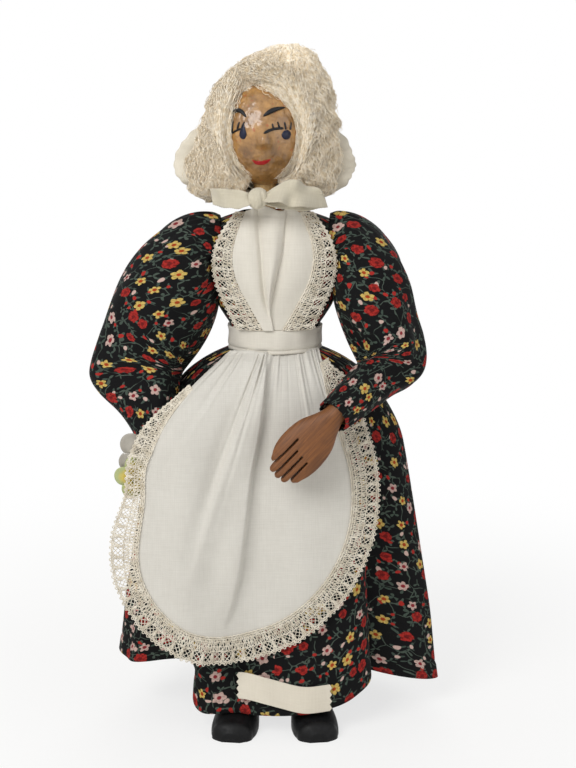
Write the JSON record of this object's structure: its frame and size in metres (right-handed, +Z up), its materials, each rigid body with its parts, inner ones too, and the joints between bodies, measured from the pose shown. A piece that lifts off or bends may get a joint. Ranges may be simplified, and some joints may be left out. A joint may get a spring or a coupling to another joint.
{
  "type": "walnut head doll",
  "caption": "Standing folk doll with a painted nut head, fluffy wig and bonnet, calico dress, lace-edged apron, carved wooden hands and bendable arms.",
  "frame": {"origin": "floor level under the middle of the doll's outline", "axes": "+Z up from the soles to the crown, +X toward the doll's left, -Y the way the doll faces"},
  "size_m": [0.1564, 0.0958, 0.32],
  "materials": {
    "softwood": "bare whittled softwood",
    "wire": "drawn wire",
    "arm_wrap": "wound cotton strip",
    "calico": "black printed cotton with small flowers",
    "apron_cotton": "white plain-woven cotton voile",
    "lace": "cream cotton lace edging",
    "tag_cloth": "bare off-white tape with pinked ends",
    "nut_shell": "lacquered nut shell with painted face",
    "mohair": "fluffy cream-white mohair",
    "bonnet_cotton": "white gathered cotton",
    "ribbon": "cream satin ribbon",
    "hand_wood": "carved brown wood, oiled",
    "shoe_paint": "carved wood painted satin black",
    "stem": "wrapped green stem",
    "petal_white": "stiff glossy grey-white petals",
    "petal_yellow": "stiff glossy yellow petals"
  },
  "bodies": {
    "torso": {"torso_block": "softwood", "neck_peg": "softwood", "shoulder_wire": "wire", "dress_bodice": "calico", "dress_skirt": "calico", "apron_waistband": "apron_cotton", "apron_skirt": "apron_cotton", "apron_lace": "lace", "apron_bib": "apron_cotton", "bib_lace_left": "lace", "bib_lace_right": "lace", "apron_bow_knot": "apron_cotton", "apron_bow_loop_left": "apron_cotton", "apron_bow_loop_right": "apron_cotton", "apron_bow_tail_left": "apron_cotton", "apron_bow_tail_right": "apron_cotton", "hem_tag": "tag_cloth", "left_leg": "softwood", "right_leg": "softwood", "left_shoe": "shoe_paint", "right_shoe": "shoe_paint"},
    "head": {"walnut_head": "nut_shell", "wig": "mohair", "bonnet_crown": "bonnet_cotton", "chin_knot": "ribbon", "chin_ribbon_left": "ribbon", "chin_ribbon_right": "ribbon"},
    "left_upper_arm": {"left_upper_arm": "arm_wrap", "left_upper_sleeve": "calico"},
    "left_forearm": {"left_forearm": "arm_wrap", "left_lower_sleeve": "calico", "left_hand": "hand_wood"},
    "right_upper_arm": {"right_upper_arm": "arm_wrap", "right_upper_sleeve": "calico"},
    "right_forearm": {"right_forearm": "arm_wrap", "right_lower_sleeve": "calico", "right_hand": "hand_wood", "flower_stem": "stem", "flower_white": "petal_white", "flower_yellow": "petal_yellow"}
  },
  "joints": [
    {"name": "head_turn", "type": "hinge", "parent": "torso", "child": "head", "pos_m": [-0.00283, 0.00391, 0.2555], "axis": [0, 0, 1], "range_deg": [-25, 25]},
    {"name": "left_shoulder", "type": "hinge", "parent": "torso", "child": "left_upper_arm", "pos_m": [0.03567, 0.00391, 0.234], "axis": [-1, 0, 0], "range_deg": [0, 80]},
    {"name": "left_elbow", "type": "hinge", "parent": "left_upper_arm", "child": "left_forearm", "pos_m": [0.05967, -0.01009, 0.178], "axis": [-0.4876, 0.7747, -0.4026], "range_deg": [0, 35]},
    {"name": "right_shoulder", "type": "hinge", "parent": "torso", "child": "right_upper_arm", "pos_m": [-0.03233, 0.00391, 0.234], "axis": [0, 1, 0], "range_deg": [0, 30]},
    {"name": "right_elbow", "type": "hinge", "parent": "right_upper_arm", "child": "right_forearm", "pos_m": [-0.05933, -0.00109, 0.181], "axis": [0.5431, 0.7638, -0.3487], "range_deg": [0, 25]}
  ]
}
